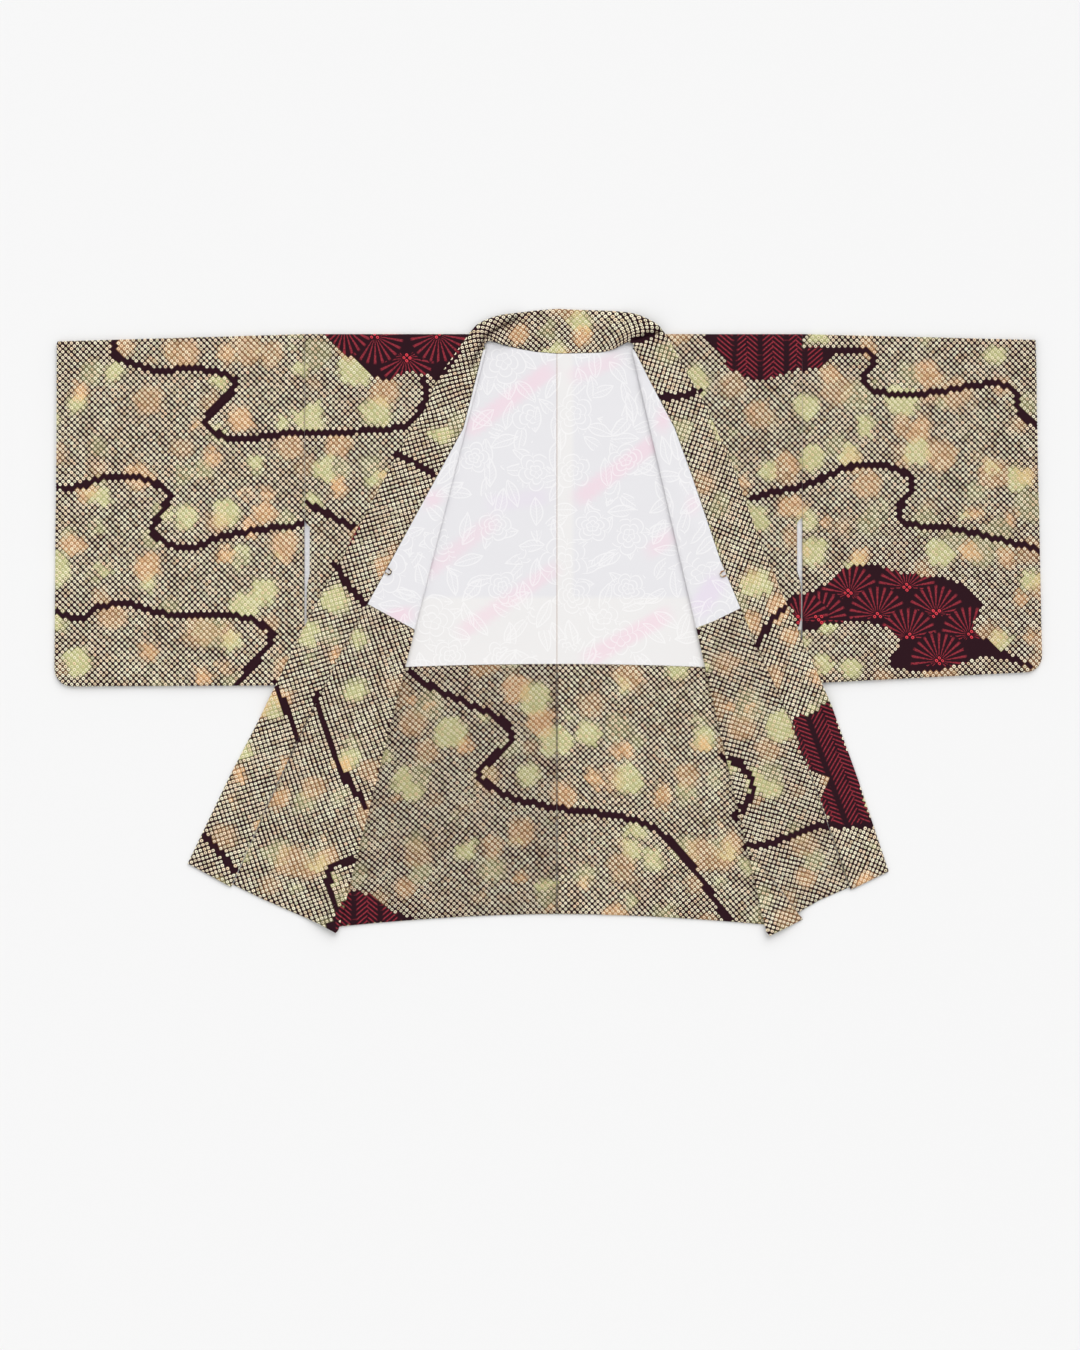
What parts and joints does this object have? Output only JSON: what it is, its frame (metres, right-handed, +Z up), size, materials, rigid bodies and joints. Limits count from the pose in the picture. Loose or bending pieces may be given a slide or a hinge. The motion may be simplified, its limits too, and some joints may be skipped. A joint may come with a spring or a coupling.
{
  "type": "haori jacket",
  "caption": "Lined shibori silk haori jacket laid flat on its back, both fronts folded open to show the white lining and the patterned hem facing.",
  "frame": {"origin": "centre of the jacket's box in plan, at the height of the surface it lies on", "axes": "+X along the sleeves towards the sleeve on the right in the picture, +Y from the hem up to the neck, +Z up out of the surface"},
  "size_m": [1.283, 0.815, 0.011],
  "materials": {
    "kanoko_silk": "matt",
    "lining_silk": "satin"
  },
  "bodies": {
    "root": {"back_left": "kanoko_silk", "back_right": "kanoko_silk", "front_left": "kanoko_silk", "front_right": "kanoko_silk", "gusset_left": "kanoko_silk", "gusset_right": "kanoko_silk", "sleeve_left": "kanoko_silk", "sleeve_right": "kanoko_silk", "collar": "kanoko_silk", "cord_loop_left": "kanoko_silk", "cord_loop_right": "kanoko_silk", "back_lining_left": "lining_silk", "back_lining_right": "lining_silk", "front_lining_left": "lining_silk", "front_lining_right": "lining_silk", "sleeve_lining_left": "lining_silk", "sleeve_lining_right": "lining_silk"}
  },
  "joints": []
}
